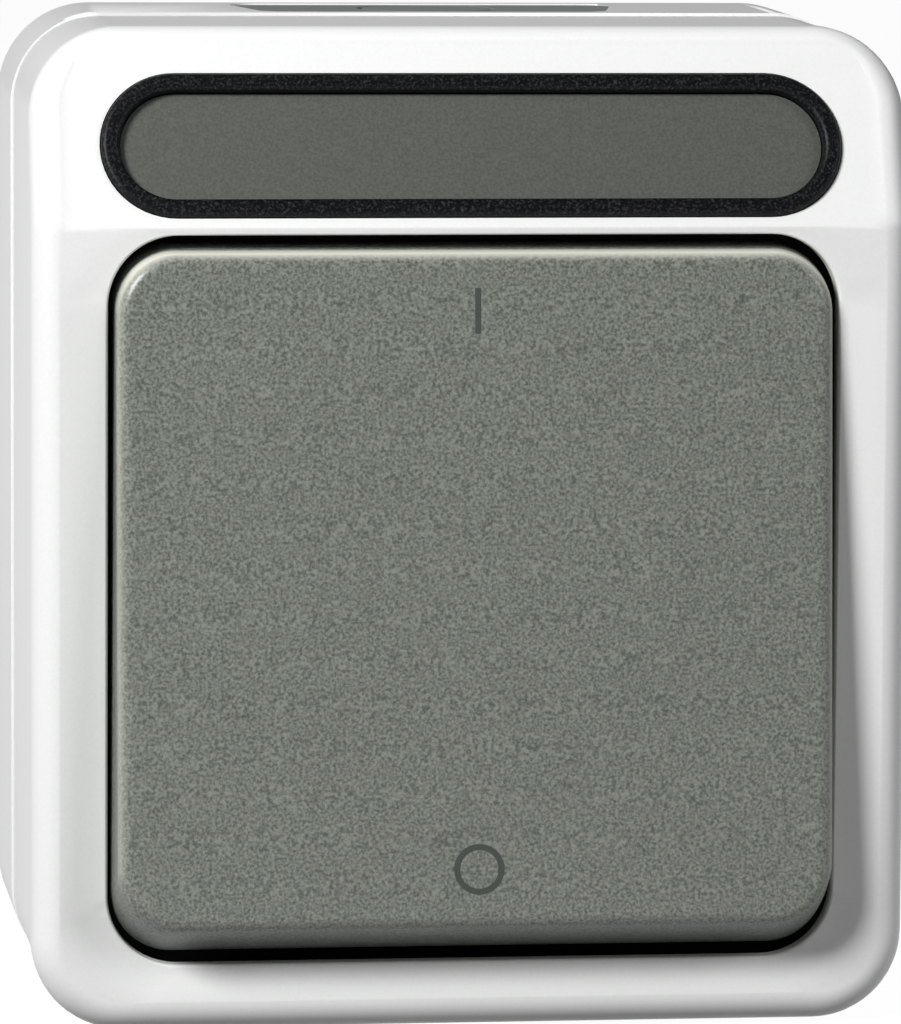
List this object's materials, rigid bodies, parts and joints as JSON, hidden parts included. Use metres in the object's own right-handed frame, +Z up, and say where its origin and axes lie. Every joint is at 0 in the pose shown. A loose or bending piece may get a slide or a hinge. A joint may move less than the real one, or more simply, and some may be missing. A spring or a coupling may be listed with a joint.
{
  "type": "outdoor weatherproof switch",
  "caption": "Surface-mounted weatherproof rocker switch with a stepped housing, a sloping label field, a tilting rocker over a sealed two-pole mechanism and a soft cable entry on top.",
  "frame": {"origin": "centre of the back face that lies on the wall", "axes": "+Z up along the wall, -Y out of the wall towards the viewer, +X to the viewer's right"},
  "size_m": [0.0746, 0.0508, 0.0848],
  "materials": {
    "white_housing": "fine moulded texture",
    "dark_rocker": "grained",
    "label_ring": "polished",
    "label_field": "smooth",
    "grey_soft": "matt",
    "dark_soft": "matt",
    "insulator": "moulded",
    "actuator": "moulded",
    "zinc_steel": "zinc plated",
    "contact_brass": "plain"
  },
  "bodies": {
    "housing": {"rear_base": "white_housing", "upper_housing": "white_housing", "front_cover": "white_housing", "label_bezel": "label_ring", "label_plate": "label_field", "cable_grommet": "grey_soft", "base_gasket": "dark_soft", "rocker_seal": "dark_soft", "switch_socket": "insulator", "mechanism_cover": "insulator", "support_plate": "zinc_steel", "support_screws": "zinc_steel", "cover_screws": "zinc_steel", "terminal_screws": "zinc_steel", "earth_screw": "zinc_steel", "earth_terminal": "contact_brass", "line_terminal_left": "contact_brass", "line_terminal_right": "contact_brass", "load_terminal_left": "contact_brass", "load_terminal_right": "contact_brass"},
    "rocker": {"rocker_cap": "dark_rocker", "actuator_cradle": "actuator", "spring_left": "zinc_steel", "spring_right": "zinc_steel"},
    "plunger_left_body": {"plunger_left": "actuator"},
    "plunger_right_body": {"plunger_right": "actuator"},
    "contact_left_body": {"contact_rocker_left": "contact_brass"},
    "contact_right_body": {"contact_rocker_right": "contact_brass"}
  },
  "joints": [
    {"name": "rocker_tilt", "type": "hinge", "parent": "housing", "child": "rocker", "pos_m": [0, -0.0334, -0.00555], "axis": [1, 0, 0], "range_deg": [0, 8]},
    {"name": "plunger_left_slide", "type": "slide", "parent": "rocker", "child": "plunger_left_body", "axis": [0, -0.9976, 0.0698], "range_m": [0, 0.0008], "stiffness_N_per_m": 300, "springref_m": -0.001, "deforming": ["spring_left"]},
    {"name": "plunger_right_slide", "type": "slide", "parent": "rocker", "child": "plunger_right_body", "axis": [0, -0.9976, 0.0698], "range_m": [0, 0.0008], "stiffness_N_per_m": 300, "springref_m": -0.001, "deforming": ["spring_right"]},
    {"name": "contact_left_tilt", "type": "hinge", "parent": "housing", "child": "contact_left_body", "pos_m": [-0.007, -0.01951, -0.00555], "axis": [1, 0, 0], "range_deg": [-16, 0]},
    {"name": "contact_right_tilt", "type": "hinge", "parent": "housing", "child": "contact_right_body", "pos_m": [0.007, -0.01951, -0.00555], "axis": [1, 0, 0], "range_deg": [-16, 0]}
  ],
  "couplings": [
    {"joint": "contact_left_tilt", "follows": "rocker_tilt", "ratio": -2},
    {"joint": "contact_right_tilt", "follows": "rocker_tilt", "ratio": -2}
  ]
}
